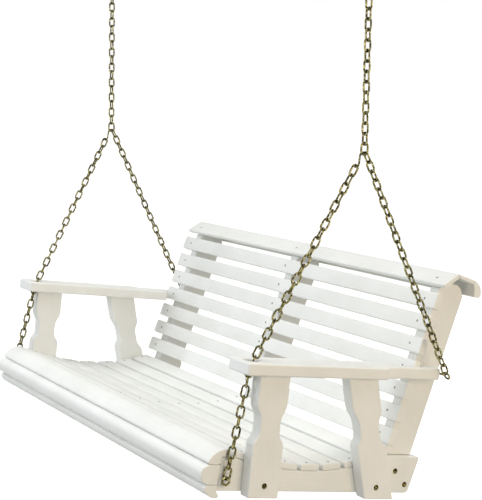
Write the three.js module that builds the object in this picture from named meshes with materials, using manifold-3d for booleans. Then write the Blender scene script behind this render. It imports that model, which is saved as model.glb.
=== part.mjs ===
// Hanging porch swing with a rolled top, rolled seat front, slatted seat and back.
// Millimetres, +Z up, front towards -Y, length of the swing along X.
// The origin lies on the ceiling, midway between the two ceiling plates.
// The bench is drawn square in its own frame and then hangs leaning back by HANG_ANGLE.
import * as THREE from 'three';
import { mergeVertices } from 'three/addons/utils/BufferGeometryUtils.js';
import Module from 'manifold-3d';

const wasm = await Module();
wasm.setup();

// ---------------------------------------------------------------- driving dimensions
const GAP = 0.3; // clearance between pieces that touch
const LUMBER = 38; // thickness of the frame lumber
const LUMBER_WIDTH = 89; // width of the frame lumber
const EDGE = 2; // eased edges of the boards

// Hanging.
const HANG_ANGLE = THREE.MathUtils.degToRad(9.25); // lean of the bench, back end down
const CHAIN_X = 728; // drop chains left and right of the middle
const JUNCTION_HEIGHT = 868; // where the branches meet, above the rail bottoms
const JUNCTION_Y = -1.75; // puts the bench's centre of mass under the junctions

// Chain.
const WIRE = 5.5; // wire of the links
const PITCH = 25.4; // inside length of a link
const LINK_WIDTH = 22; // outside width of a link
const JUNCTION_WIDTH = 25; // the link that carries both branches is a little wider
const DROP_LINKS = 19; // links between the top hook and the junction link
const BAR_WEB = 2; // web of the crossed bar that stands for a run of chain

// Ceiling plates.
const PLATE_SIZE = 80;
const PLATE_THICKNESS = 6;
const BAIL_WIRE = 9;
const BAIL_RADIUS = 16; // centreline of the bail's bend
const BAIL_LEG = 14; // straight legs above the bend
const SCREW_HOLE = 6.5;
const SCREW_SPACING = 56;

// S-hooks.
const HOOK_WIRE = 6.5;
const HOOK_RADIUS = 9; // centreline of both bends
const HOOK_HALF = 13; // half of the straight between them
const FRONT_HOOK_WIRE = 5;
const FRONT_HOOK_RADIUS = 7.5;
const FRONT_HOOK_HALF = 11.5;
const BRANCH_SPREAD = Math.PI / 4; // the branches bear this far round the link's bow

// Eyebolts.
const EYE_WIRE = 5.5;
const EYE_RADIUS = 10; // centreline of the eye
const EYE_SHANK = 6;
const EYE_THREAD = 6; // thread that shows past the nut

// Side rails, with a scooped top edge.
const RAIL_OUTER = 686; // outer face of the side rails
const RAIL_FRONT = -250;
const RAIL_BACK_BOTTOM = 352;
const RAIL_BACK_TOP = 376;
const RAIL_SHOULDER = 100; // height of the flat at the back
const RAIL_CORNER = 11;
const SCOOP_START = new THREE.Vector2(-222, 87);
const SCOOP_CONTROL = new THREE.Vector2(36, 17);
const SCOOP_END = new THREE.Vector2(256, 97);
const CENTER_RAIL_X = -18; // middle of the centre rail
const SEAT_SLATS = 7;
const SEAT_SLAT_GAP = 12;

// Slats.
const SEAT_SLAT_THICKNESS = 17;
const BACK_SLAT_THICKNESS = 22;
const BACK_SLAT_WIDTH = 44.5;
const BACK_SLAT_PITCH = 63;
const BACK_SLATS = 7;
const BACK_SLAT_HALF = 694; // half length of the back slats

// Back uprights.
const RECLINE = Math.atan(0.2127); // lean of the back against the rails
const UPRIGHT_OUTER = 667; // outer face of the outer uprights
const UPRIGHT_REF = new THREE.Vector2(309, 303); // a point on the upright's front face
const TOP_SLAT_CENTER_Z = 522.5; // middle of the highest back slat
const UPRIGHT_FOOT = 4;

// Arm supports.
const SUPPORT_FOOT = -7;
const WAIST_DEPTH = 15;
const FRONT_SUPPORT = { y: -140, lean: THREE.MathUtils.degToRad(3.3) };
const REAR_SUPPORT = { y: 214, lean: THREE.MathUtils.degToRad(19.6) };
const SUPPORT_REF_Z = 25; // height at which the support's middle is at y

// Armrests.
const ARM_UNDERSIDE = 305.1; // underside at Y zero
const ARM_SLOPE = Math.atan(0.031);
const ARM_THICKNESS = 31;
const ARM_INNER = 641;
const ARM_OUTER = 742;
const ARM_FRONT = -249;
const ARM_HOLE = new THREE.Vector2(690, -213);
const ARM_HOLE_RADIUS = 20;

// Where the branch chains end.
const FRONT_EYE = new THREE.Vector3(700, -238, 29);
const REAR_EYE = new THREE.Vector3(728, 384, 332.5);

// Carriage bolts.
const BOLT = 6.4;
const BOLT_HEAD = 15;
const BOLT_HEAD_HEIGHT = 4;
const NUT_WIDTH = 12;
const NUT_HEIGHT = 6;
const BOLT_SIDES = 8;

// ---------------------------------------------------------------- finishes
const finish = (color, roughness, metalness) =>
  new THREE.MeshStandardMaterial({ color, roughness, metalness });
const whitePaint = () => finish(0xe9e8e3, 0.55, 0);
const chainMetal = () => finish(0x8a7f45, 0.35, 0.9);
const boltMetal = () => finish(0x6b5f35, 0.35, 0.9);
const plateMetal = () => finish(0x8f8a80, 0.45, 0.8);

// ---------------------------------------------------------------- solids
/** Turns a closed three.js geometry into a solid that can be joined and cut. */
function solid(geometry) {
  const bare = geometry.index ? geometry.toNonIndexed() : geometry.clone();
  bare.deleteAttribute('normal');
  bare.deleteAttribute('uv');
  const merged = mergeVertices(bare, 1e-4);
  return new wasm.Manifold(new wasm.Mesh({
    numProp: 3,
    vertProperties: new Float32Array(merged.attributes.position.array),
    triVerts: new Uint32Array(merged.index.array),
  }));
}

/** Turns a solid back into a three.js geometry with flat faces. */
function geometryOf(body) {
  const mesh = body.getMesh();
  const geometry = new THREE.BufferGeometry();
  geometry.setAttribute('position', new THREE.BufferAttribute(mesh.vertProperties, 3));
  geometry.setIndex(new THREE.BufferAttribute(mesh.triVerts, 1));
  const flat = geometry.toNonIndexed();
  flat.computeVertexNormals();
  return flat;
}

/** A named piece. */
function piece(name, geometry, material) {
  const mesh = new THREE.Mesh(geometry, material);
  mesh.name = name;
  return mesh;
}

/** Extrudes an outline drawn in (Y, Z) along X, from x0 to x1. */
function alongX(outline, x0, x1, curveSegments = 6) {
  const shape = outline instanceof THREE.Shape ? outline : new THREE.Shape(outline);
  const geometry = new THREE.ExtrudeGeometry(shape, {
    depth: x1 - x0, bevelEnabled: false, curveSegments,
  });
  const axes = new THREE.Matrix4().makeBasis(
    new THREE.Vector3(0, 1, 0), new THREE.Vector3(0, 0, 1), new THREE.Vector3(1, 0, 0));
  axes.setPosition(x0, 0, 0);
  return geometry.applyMatrix4(axes);
}

/** A round bar along X, used for bolts and the holes they pass through. */
function barX(diameter, x0, x1, y, z, sides = BOLT_SIDES) {
  const bar = new THREE.CylinderGeometry(diameter / 2, diameter / 2, x1 - x0, sides);
  bar.rotateZ(Math.PI / 2);
  bar.translate((x0 + x1) / 2, y, z);
  return solid(bar);
}

/** A rectangle with eased corners, centred on (y, z) and turned by angle. */
function easedRectangle(width, height, y, z, angle, ease = EDGE) {
  const w = width / 2;
  const h = height / 2;
  const corners = [
    [-w + ease, -h], [w - ease, -h], [w, -h + ease], [w, h - ease],
    [w - ease, h], [-w + ease, h], [-w, h - ease], [-w, -h + ease],
  ];
  const c = Math.cos(angle);
  const s = Math.sin(angle);
  return corners.map(([u, v]) => new THREE.Vector2(y + u * c - v * s, z + u * s + v * c));
}

/** Left and right sides: -1 and +1. */
const SIDES = [[-1, 'left'], [1, 'right']];

/** The two ends of a piece that lies between |inner| and |outer| on one side. */
const span = (side, inner, outer) => (side > 0 ? [inner, outer] : [-outer, -inner]);

// ---------------------------------------------------------------- places worked out
const railInner = RAIL_OUTER - LUMBER;
const supportInner = RAIL_OUTER + GAP;
const supportOuter = supportInner + LUMBER;
const uprightInner = UPRIGHT_OUTER - LUMBER;
const backSlope = Math.tan(RECLINE);

/** Y of the upright's front face at height z. */
const uprightFront = (z) => UPRIGHT_REF.x + backSlope * (z - UPRIGHT_REF.y);

/** Y of the upright's rear face at height z. */
const uprightBack = (z) => uprightFront(z) + LUMBER_WIDTH / Math.cos(RECLINE);

/** Height of an armrest's underside at y. */
const armUnderside = (y) => ARM_UNDERSIDE + Math.tan(ARM_SLOPE) * y;

/** The points where the seat slats meet on the scooped edge of the rails. */
const scoop = new THREE.QuadraticBezierCurve(SCOOP_START, SCOOP_CONTROL, SCOOP_END);
const scoopPoints = scoop.getSpacedPoints(SEAT_SLATS);

// ---------------------------------------------------------------- bench: frame
/** Outline of a rail: flat bottom, sloping rear end with round corners, scooped top. */
function railOutline() {
  const shape = new THREE.Shape();
  const rise = (RAIL_BACK_TOP - RAIL_BACK_BOTTOM) / RAIL_SHOULDER;
  shape.moveTo(RAIL_FRONT, 0);
  shape.lineTo(RAIL_BACK_BOTTOM - RAIL_CORNER, 0);
  shape.quadraticCurveTo(
    RAIL_BACK_BOTTOM, 0, RAIL_BACK_BOTTOM + RAIL_CORNER * rise, RAIL_CORNER);
  shape.lineTo(RAIL_BACK_TOP - RAIL_CORNER * rise, RAIL_SHOULDER - RAIL_CORNER);
  shape.quadraticCurveTo(
    RAIL_BACK_TOP, RAIL_SHOULDER, RAIL_BACK_TOP - RAIL_CORNER, RAIL_SHOULDER);
  shape.lineTo(SCOOP_END.x + 3, RAIL_SHOULDER);
  for (const point of [...scoopPoints].reverse()) {
    shape.lineTo(point.x, point.y);
  }
  shape.lineTo(RAIL_FRONT, SCOOP_START.y - 3);
  shape.closePath();
  return shape;
}

const REAR_BOLTS = [[297, 60], [336, 24]];
const SUPPORT_BOLTS = [[FRONT_SUPPORT.y, SUPPORT_REF_Z], [REAR_SUPPORT.y - 4, SUPPORT_REF_Z]];
const HOLE = BOLT + 2 * GAP + 0.3;

function sideRail(side, word) {
  const [x0, x1] = span(side, railInner, RAIL_OUTER);
  let body = solid(alongX(railOutline(), x0, x1, 3));
  for (const [y, z] of [...REAR_BOLTS, ...SUPPORT_BOLTS, [FRONT_EYE.y, FRONT_EYE.z - EYE_RADIUS]]) {
    body = body.subtract(barX(HOLE, x0 - 5, x1 + 5, y, z));
  }
  return piece(`seat_side_rail_${word}`, geometryOf(body), whitePaint());
}

function centerRail() {
  const x0 = CENTER_RAIL_X - LUMBER / 2;
  let body = solid(alongX(railOutline(), x0, x0 + LUMBER, 3));
  for (const [y, z] of REAR_BOLTS) {
    body = body.subtract(barX(HOLE, x0 - 5, x0 + LUMBER + 5, y, z));
  }
  return piece('seat_center_rail', geometryOf(body), whitePaint());
}

/** Outline of an upright: straight and reclined, with a domed top under the roll. */
function uprightOutline() {
  const topFront = 553;
  const topBack = 540;
  const shape = new THREE.Shape();
  shape.moveTo(uprightFront(UPRIGHT_FOOT), UPRIGHT_FOOT);
  shape.lineTo(uprightBack(UPRIGHT_FOOT), UPRIGHT_FOOT);
  shape.lineTo(uprightBack(topBack), topBack);
  shape.quadraticCurveTo(446, 567, 422, 573);
  shape.lineTo(398, 575);
  shape.quadraticCurveTo(376, 574, uprightFront(topFront), topFront);
  shape.closePath();
  return shape;
}

/** An upright: the half beside its rail is bolted to it, the other ends in a shoulder on it. */
function upright(name, x0, railSide, holdsEyebolt) {
  const x1 = x0 + LUMBER;
  let body = solid(alongX(uprightOutline(), x0, x1, 4));
  const half = LUMBER / 2 - GAP;
  const notch = railSide > 0 ? [x1 - half - GAP, x1 + 1] : [x0 - 1, x0 + half + GAP];
  const below = 20; // the cut starts clear of the foot
  const cut = new THREE.BoxGeometry(notch[1] - notch[0], 300, RAIL_SHOULDER + GAP + below);
  cut.translate((notch[0] + notch[1]) / 2, 300, (RAIL_SHOULDER + GAP - below) / 2);
  body = body.subtract(solid(cut));
  for (const [y, z] of REAR_BOLTS) {
    body = body.subtract(barX(HOLE, x0 - 5, x1 + 5, y, z));
  }
  if (holdsEyebolt) {
    body = body.subtract(barX(EYE_SHANK + 1, x0 - 5, x1 + 5, REAR_EYE.y, REAR_EYE.z));
  }
  return piece(name, geometryOf(body), whitePaint());
}

// ---------------------------------------------------------------- bench: arms
/** Outline of an arm support in (Y, Z): a leaning board with a waist cut in both edges. */
function supportOutline({ y, lean }) {
  const half = LUMBER_WIDTH / 2 / Math.cos(lean);
  const middle = (z) => y - Math.tan(lean) * (z - SUPPORT_REF_Z);
  const at = (z, edge, cut) => [middle(z) + edge * (half - cut), z];
  const top = (edge) => {
    const yTop = middle(ARM_UNDERSIDE) + edge * half;
    return [yTop, armUnderside(yTop) - GAP];
  };
  const shape = new THREE.Shape();
  const hip = 126; // where the waist starts, going up
  const shoulder = 230; // where it ends
  shape.moveTo(...at(SUPPORT_FOOT, -1, 0));
  shape.lineTo(...at(SUPPORT_FOOT, 1, 0));
  shape.lineTo(...at(hip, 1, 0));
  shape.bezierCurveTo(...at(hip + 16, 1, 2), ...at(hip + 14, 1, WAIST_DEPTH),
    ...at(hip + 34, 1, WAIST_DEPTH));
  shape.lineTo(...at(shoulder - 46, 1, WAIST_DEPTH));
  shape.bezierCurveTo(...at(shoulder - 24, 1, WAIST_DEPTH), ...at(shoulder - 20, 1, 1),
    ...at(shoulder, 1, 0));
  shape.lineTo(...top(1));
  shape.lineTo(...top(-1));
  shape.lineTo(...at(shoulder, -1, 0));
  shape.bezierCurveTo(...at(shoulder - 20, -1, 1), ...at(shoulder - 24, -1, WAIST_DEPTH),
    ...at(shoulder - 46, -1, WAIST_DEPTH));
  shape.lineTo(...at(hip + 34, -1, WAIST_DEPTH));
  shape.bezierCurveTo(...at(hip + 14, -1, WAIST_DEPTH), ...at(hip + 16, -1, 2),
    ...at(hip, -1, 0));
  shape.closePath();
  return shape;
}

function armSupport(side, word, place, dimensions, bolt) {
  const [x0, x1] = span(side, supportInner, supportOuter);
  const body = solid(alongX(supportOutline(dimensions), x0, x1, 5))
    .subtract(barX(HOLE, x0 - 5, x1 + 5, ...bolt));
  return piece(`arm_support_${place}_${word}`, geometryOf(body), whitePaint());
}

/** Outline of an armrest seen from above, for the right side when side is +1. */
function armOutline(side) {
  const shape = new THREE.Shape();
  const front = 12; // rounded front corners
  const slatFront = 268; // clear of the back slats
  const slatBack = 322;
  const jog = 168; // where the armrest narrows behind the rear support
  const narrow = 718;
  const end = 368;
  const point = (x, y) => [side * x, y];
  shape.moveTo(...point(ARM_INNER + front, ARM_FRONT));
  shape.lineTo(...point(ARM_OUTER - front, ARM_FRONT));
  shape.quadraticCurveTo(
    ...point(ARM_OUTER, ARM_FRONT), ...point(ARM_OUTER, ARM_FRONT + front));
  shape.lineTo(...point(ARM_OUTER, jog));
  shape.quadraticCurveTo(
    ...point(ARM_OUTER - 2, jog + 22), ...point(narrow, jog + 26));
  shape.lineTo(...point(narrow, end - 6));
  shape.quadraticCurveTo(...point(narrow, end), ...point(narrow - 5, end + 4));
  shape.lineTo(...point(UPRIGHT_OUTER + GAP, end + 30));
  shape.lineTo(...point(UPRIGHT_OUTER + GAP, slatBack));
  shape.lineTo(...point(BACK_SLAT_HALF + 1, slatBack));
  shape.lineTo(...point(BACK_SLAT_HALF + 1, slatFront));
  shape.lineTo(...point(ARM_INNER, slatFront));
  shape.lineTo(...point(ARM_INNER, ARM_FRONT + front));
  shape.quadraticCurveTo(
    ...point(ARM_INNER, ARM_FRONT), ...point(ARM_INNER + front, ARM_FRONT));
  shape.closePath();
  const hole = new THREE.Path();
  hole.absarc(side * ARM_HOLE.x, ARM_HOLE.y, ARM_HOLE_RADIUS, 0, Math.PI * 2, false);
  shape.holes.push(hole);
  return shape;
}

function armrest(side, word) {
  const board = new THREE.ExtrudeGeometry(armOutline(side), {
    depth: ARM_THICKNESS, bevelEnabled: false, curveSegments: 4,
  });
  board.rotateX(ARM_SLOPE);
  board.translate(0, 0, ARM_UNDERSIDE);
  const [x0, x1] = span(side, UPRIGHT_OUTER - 5, ARM_OUTER + 5);
  const body = solid(board)
    .subtract(barX(EYE_SHANK + 1, x0, x1, REAR_EYE.y, REAR_EYE.z));
  return piece(`armrest_${word}`, geometryOf(body), whitePaint());
}

// ---------------------------------------------------------------- bench: slats
/** Seat slats lie on the scooped edge, each on the chord between two scoop points. */
function seatSlats() {
  const slats = [];
  for (let i = 0; i < SEAT_SLATS; i += 1) {
    const a = scoopPoints[i];
    const b = scoopPoints[i + 1];
    const angle = Math.atan2(b.y - a.y, b.x - a.x);
    const width = a.distanceTo(b) - SEAT_SLAT_GAP;
    const lift = SEAT_SLAT_THICKNESS / 2 + GAP;
    const y = (a.x + b.x) / 2 - Math.sin(angle) * lift;
    const z = (a.y + b.y) / 2 + Math.cos(angle) * lift;
    const outline = easedRectangle(width, SEAT_SLAT_THICKNESS, y, z, angle);
    slats.push(piece(`seat_slat_${i + 1}`,
      alongX(outline, -RAIL_OUTER, RAIL_OUTER), whitePaint()));
  }
  return slats;
}

/** Back slats are fastened to the front faces of the uprights. */
function backSlats() {
  const slats = [];
  const lift = BACK_SLAT_THICKNESS / 2 + GAP;
  for (let i = 0; i < BACK_SLATS; i += 1) {
    const z = TOP_SLAT_CENTER_Z - i * BACK_SLAT_PITCH * Math.cos(RECLINE);
    const y = uprightFront(z) - lift / Math.cos(RECLINE);
    const outline = easedRectangle(BACK_SLAT_THICKNESS, BACK_SLAT_WIDTH, y, z, -RECLINE);
    slats.push(piece(`back_slat_${i + 1}`,
      alongX(outline, -BACK_SLAT_HALF, BACK_SLAT_HALF), whitePaint()));
  }
  return slats;
}

/** The rolled top: two boards over the uprights and a thick rounded one behind them. */
function rolledTop() {
  const half = 703;
  const points = (list) => list.map(([y, z]) => new THREE.Vector2(y, z));
  const frontBoard = points(
    [[345, 570], [346, 567.5], [352.8, 560.4], [356, 562], [397.6, 593.4], [390.5, 603.6]]);
  const topBoard = points(
    [[391.5, 604], [398.4, 593.2], [449, 581], [452, 591], [450, 593.4]]);
  const rear = new THREE.Shape();
  rear.moveTo(457, 547);
  rear.lineTo(472, 546.5);
  rear.quadraticCurveTo(481, 547, 481, 556);
  rear.quadraticCurveTo(480, 573, 472, 580);
  rear.lineTo(455, 592.6);
  rear.lineTo(450.4, 580);
  rear.quadraticCurveTo(458, 568, 457, 547);
  rear.closePath();
  return [
    piece('top_roll_front_slat', alongX(frontBoard, -half, half), whitePaint()),
    piece('top_roll_top_slat', alongX(topBoard, -half, half), whitePaint()),
    piece('top_roll_rear_slat', alongX(rear, -half, half, 4), whitePaint()),
  ];
}

/** The rolled seat front: a rounded top board, a front board and a lower one. */
function seatNose() {
  const half = 687;
  const front = RAIL_FRONT - GAP;
  const back = SCOOP_START.x - SEAT_SLAT_GAP / 2;
  const top = new THREE.Shape();
  top.moveTo(back, SCOOP_START.y + GAP + 0.2);
  top.lineTo(back, SCOOP_START.y + SEAT_SLAT_THICKNESS + 2);
  top.lineTo(-248, 105);
  top.quadraticCurveTo(-276, 98, -287.5, 75);
  top.lineTo(-287.5, 70);
  top.lineTo(-281, 65.5);
  top.lineTo(-256, 65.5);
  top.lineTo(front, 70);
  top.lineTo(front, SCOOP_START.y - 3 + GAP + 0.6);
  top.closePath();
  const middle = new THREE.Shape();
  middle.moveTo(front, 15.4);
  middle.lineTo(front, 65);
  middle.lineTo(-283, 65);
  middle.lineTo(-291, 61.5);
  middle.quadraticCurveTo(-302, 57, -303.5, 45);
  middle.quadraticCurveTo(-302, 32, -295, 21);
  middle.lineTo(-281, 15.4);
  middle.closePath();
  const lower = new THREE.Shape();
  lower.moveTo(front, 14.8);
  lower.lineTo(-280, 14.8);
  lower.lineTo(-289, 9);
  lower.quadraticCurveTo(-286, -9, -261, -17);
  lower.lineTo(-252, -18);
  lower.quadraticCurveTo(-242, -16, -244, -9.5);
  lower.lineTo(front, -3);
  lower.closePath();
  return [
    piece('seat_front_top_board', alongX(top, -half, half, 3), whitePaint()),
    piece('seat_front_board', alongX(middle, -half, half, 5), whitePaint()),
    piece('seat_front_lower_board', alongX(lower, -half, half, 4), whitePaint()),
  ];
}

// ---------------------------------------------------------------- bolts
/** A carriage bolt along X with its domed head at headX and its nut past nutX. */
function carriageBolt(name, headX, nutX, y, z) {
  const direction = Math.sign(headX - nutX);
  const inner = nutX - direction * GAP;
  const end = inner - direction * (NUT_HEIGHT + 3);
  const profile = new THREE.SplineCurve([
    new THREE.Vector2(BOLT_HEAD / 2, 0),
    new THREE.Vector2(BOLT_HEAD / 2 * 0.72, BOLT_HEAD_HEIGHT * 0.72),
    new THREE.Vector2(0, BOLT_HEAD_HEIGHT),
  ]).getPoints(3);
  profile[3].x = 0;
  const head = new THREE.LatheGeometry([new THREE.Vector2(0, 0), ...profile], 10);
  head.rotateZ(-direction * Math.PI / 2);
  head.translate(headX + direction * GAP, y, z);
  const low = Math.min(headX + direction * (GAP + 0.5), end);
  const high = Math.max(headX + direction * (GAP + 0.5), end);
  const nutLow = Math.min(inner, inner - direction * NUT_HEIGHT);
  const body = solid(head)
    .add(barX(BOLT, low, high, y, z))
    .add(barX(NUT_WIDTH, nutLow, nutLow + NUT_HEIGHT, y, z, 6));
  return piece(name, geometryOf(body), boltMetal());
}

// ---------------------------------------------------------------- hanging hardware
/** The ring of an eyebolt, lying in the XY plane about the origin. */
const eyeRing = () => new THREE.TorusGeometry(EYE_RADIUS, EYE_WIRE / 2, 6, 14);

/** An eyebolt: a ring at its place, and a shank inward from start with a nut inside nutX. */
function eyebolt(name, side, ring, start, nutX) {
  const end = nutX - NUT_HEIGHT - EYE_THREAD;
  const [low, high] = span(side, end, start.x);
  const nutLow = side > 0 ? nutX - GAP - NUT_HEIGHT : -nutX + GAP;
  const body = solid(ring)
    .add(barX(EYE_SHANK, low, high, start.y, start.z))
    .add(barX(NUT_WIDTH, nutLow, nutLow + NUT_HEIGHT, start.y, start.z, 6));
  return piece(name, geometryOf(body), chainMetal());
}

/** Front eyebolt: its ring is bent flat beside the rail, so the shank leaves its foot. */
function frontEyebolt(side, word) {
  const ring = eyeRing().rotateY(Math.PI / 2)
    .translate(side * FRONT_EYE.x, FRONT_EYE.y, FRONT_EYE.z);
  const start = FRONT_EYE.clone().setZ(FRONT_EYE.z - EYE_RADIUS);
  return eyebolt(`front_eyebolt_${word}`, side, ring, start, railInner);
}

/** Rear eyebolt: its ring stands square to the pull of the rear chain. */
function rearEyebolt(side, word) {
  const tilt = Math.atan2(REAR_EYE.y - JUNCTION_Y, JUNCTION_HEIGHT - REAR_EYE.z);
  const ring = eyeRing().rotateX(Math.PI / 2 + tilt)
    .translate(side * REAR_EYE.x, REAR_EYE.y, REAR_EYE.z);
  const start = REAR_EYE.clone().setX(REAR_EYE.x - EYE_RADIUS);
  return eyebolt(`rear_eyebolt_${word}`, side, ring, start, uprightInner);
}

/** A crossed bar between two points: the envelope and the weight of a run of chain. */
function chainBar(from, to) {
  const w = LINK_WIDTH / 2;
  const t = BAR_WEB / 2;
  const eighthTurn = Math.PI / 4;
  const outline = [
    [t, w], [t, t], [w, t], [w, -t], [t, -t], [t, -w],
    [-t, -w], [-t, -t], [-w, -t], [-w, t], [-t, t], [-t, w],
  ].map(([x, y]) => new THREE.Vector2(x, y).rotateAround(new THREE.Vector2(), eighthTurn));
  const run = new THREE.Vector3().subVectors(to, from);
  const bar = new THREE.ExtrudeGeometry(new THREE.Shape(outline), {
    depth: run.length(), bevelEnabled: false,
  });
  run.normalize();
  const across = new THREE.Vector3().crossVectors(run, new THREE.Vector3(1, 0, 0)).normalize();
  const sideways = new THREE.Vector3().crossVectors(across, run);
  bar.applyMatrix4(new THREE.Matrix4().makeBasis(sideways, across, run).setPosition(from));
  return solid(bar);
}

/** How far each bend of an S-hook reaches from its middle, along the line of pull. */
const hookReach = (radius, half) => Math.hypot(radius, half) + radius;

/** The centreline of an S-hook. Its bends' centres lie on the line of pull, along axisV. */
class HookCurve extends THREE.Curve {
  constructor(radius, half, axisU, axisV, center) {
    super();
    this.radius = radius;
    this.half = half;
    this.axisU = axisU;
    this.axisV = axisV;
    this.center = center;
  }

  getPoint(t, target = new THREE.Vector3()) {
    const sweep = THREE.MathUtils.degToRad(215);
    const bend = this.radius * sweep;
    const straight = 2 * this.half;
    const s = t * (2 * bend + straight);
    let u = 0;
    let v = this.half - (s - bend);
    if (s < bend) {
      const angle = sweep - s / this.radius;
      u = this.radius * (Math.cos(angle) - 1);
      v = this.half + this.radius * Math.sin(angle);
    } else if (s > bend + straight) {
      const angle = (s - bend - straight) / this.radius;
      u = this.radius * (1 - Math.cos(angle));
      v = -this.half - this.radius * Math.sin(angle);
    }
    const lean = Math.atan2(this.radius, this.half);
    const across = u * Math.cos(lean) + v * Math.sin(lean);
    const along = v * Math.cos(lean) - u * Math.sin(lean);
    return target.copy(this.center)
      .addScaledVector(this.axisU, across)
      .addScaledVector(this.axisV, along);
  }
}

/** An S-hook from its curve. */
function sHook(name, curve, wire) {
  const section = new THREE.Shape();
  section.absarc(0, 0, wire / 2, 0, Math.PI * 2, false);
  const hook = new THREE.ExtrudeGeometry(section, {
    extrudePath: curve, steps: 22, curveSegments: 3, bevelEnabled: false,
  });
  return piece(name, geometryOf(solid(hook)), chainMetal());
}

/** The link at the junction, with its long side along Z and its width along Y. */
function linkGeometry() {
  const bend = (JUNCTION_WIDTH - WIRE) / 2;
  const ring = new THREE.TorusGeometry(bend, WIRE / 2, 6, 12);
  ring.rotateY(Math.PI / 2);
  const stretch = (PITCH + WIRE) / 2 - bend;
  const position = ring.attributes.position;
  for (let i = 0; i < position.count; i += 1) {
    const z = position.getZ(i);
    const end = Math.abs(z) < WIRE / 8 ? 0 : Math.sign(z);
    position.setZ(i, z + end * stretch);
  }
  return ring;
}

// Heights below the ceiling, from the top down. Each is a centreline of a wire or its end.
const bailBottom = -PLATE_THICKNESS - BAIL_LEG - BAIL_RADIUS;
const hookCrown = bailBottom + (BAIL_WIRE + HOOK_WIRE) / 2 + GAP;
const hookCenter = hookCrown - hookReach(HOOK_RADIUS, HOOK_HALF);
const hookBottom = hookCenter - hookReach(HOOK_RADIUS, HOOK_HALF);
const dropTop = hookBottom + HOOK_WIRE / 2 + WIRE + GAP;
const dropBottom = dropTop - DROP_LINKS * PITCH - 2 * WIRE;
const junctionTop = dropBottom + 2 * WIRE;
const junctionCenter = junctionTop - (PITCH + 2 * WIRE) / 2;
const junctionLow = junctionCenter - (PITCH + WIRE) / 2;

/** A ceiling plate with four screw holes and a welded bail. */
function ceilingPlate(side, word) {
  const plate = new THREE.BoxGeometry(PLATE_SIZE, PLATE_SIZE, PLATE_THICKNESS);
  plate.translate(side * CHAIN_X, 0, -PLATE_THICKNESS / 2);
  const bendZ = -PLATE_THICKNESS - BAIL_LEG;
  const path = new THREE.CurvePath();
  const corner = (dx, dz) => new THREE.Vector3(side * CHAIN_X + dx, 0, bendZ + dz);
  const bow = BAIL_RADIUS * 0.5523; // handle length of a quarter circle's Bezier curve
  path.add(new THREE.LineCurve3(
    corner(-BAIL_RADIUS, BAIL_LEG + 1), corner(-BAIL_RADIUS, 0)));
  path.add(new THREE.CubicBezierCurve3(corner(-BAIL_RADIUS, 0), corner(-BAIL_RADIUS, -bow),
    corner(-bow, -BAIL_RADIUS), corner(0, -BAIL_RADIUS)));
  path.add(new THREE.CubicBezierCurve3(corner(0, -BAIL_RADIUS), corner(bow, -BAIL_RADIUS),
    corner(BAIL_RADIUS, -bow), corner(BAIL_RADIUS, 0)));
  path.add(new THREE.LineCurve3(
    corner(BAIL_RADIUS, 0), corner(BAIL_RADIUS, BAIL_LEG + 1)));
  const section = new THREE.Shape();
  section.absarc(0, 0, BAIL_WIRE / 2, 0, Math.PI * 2, false);
  const bail = new THREE.ExtrudeGeometry(section, {
    extrudePath: path, steps: 20, curveSegments: 4, bevelEnabled: false,
  });
  let body = solid(plate).add(solid(bail));
  for (const dx of [-1, 1]) {
    for (const dy of [-1, 1]) {
      const hole = new THREE.CylinderGeometry(SCREW_HOLE / 2, SCREW_HOLE / 2, 20, 8);
      hole.rotateX(Math.PI / 2);
      hole.translate(
        side * CHAIN_X + dx * SCREW_SPACING / 2, dy * SCREW_SPACING / 2, 0);
      body = body.subtract(solid(hole));
    }
  }
  return piece(`ceiling_plate_${word}`, geometryOf(body), plateMetal());
}

// ---------------------------------------------------------------- the bench group
const bench = new THREE.Group();
bench.rotation.x = -HANG_ANGLE;
const junctionOffset = new THREE.Vector3(0, JUNCTION_Y, JUNCTION_HEIGHT)
  .applyAxisAngle(new THREE.Vector3(1, 0, 0), -HANG_ANGLE);
bench.position.set(0, -junctionOffset.y, junctionLow - junctionOffset.z);

for (const [side, word] of SIDES) {
  bench.add(sideRail(side, word));
  const uprightStart = side > 0 ? uprightInner : -UPRIGHT_OUTER;
  bench.add(upright(`back_upright_${word}`, uprightStart, side, true));
  bench.add(armSupport(side, word, 'front', FRONT_SUPPORT, SUPPORT_BOLTS[0]));
  bench.add(armSupport(side, word, 'rear', REAR_SUPPORT, SUPPORT_BOLTS[1]));
  bench.add(armrest(side, word));
  SUPPORT_BOLTS.forEach(([y, z], i) => {
    bench.add(carriageBolt(`support_bolt_${i + 1}_${word}`,
      side * supportOuter, side * railInner, y, z));
  });
  REAR_BOLTS.forEach(([y, z], i) => {
    bench.add(carriageBolt(`upright_bolt_${i + 1}_${word}`,
      side * RAIL_OUTER, side * uprightInner, y, z));
  });
  bench.add(frontEyebolt(side, word), rearEyebolt(side, word));
}
bench.add(centerRail());
bench.add(upright('back_upright_center', CENTER_RAIL_X - LUMBER, 1, false));
REAR_BOLTS.forEach(([y, z], i) => {
  bench.add(carriageBolt(`upright_bolt_${i + 1}_center`,
    CENTER_RAIL_X + LUMBER / 2, CENTER_RAIL_X - LUMBER, y, z));
});
bench.add(...seatNose(), ...seatSlats(), ...backSlats(), ...rolledTop());

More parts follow.
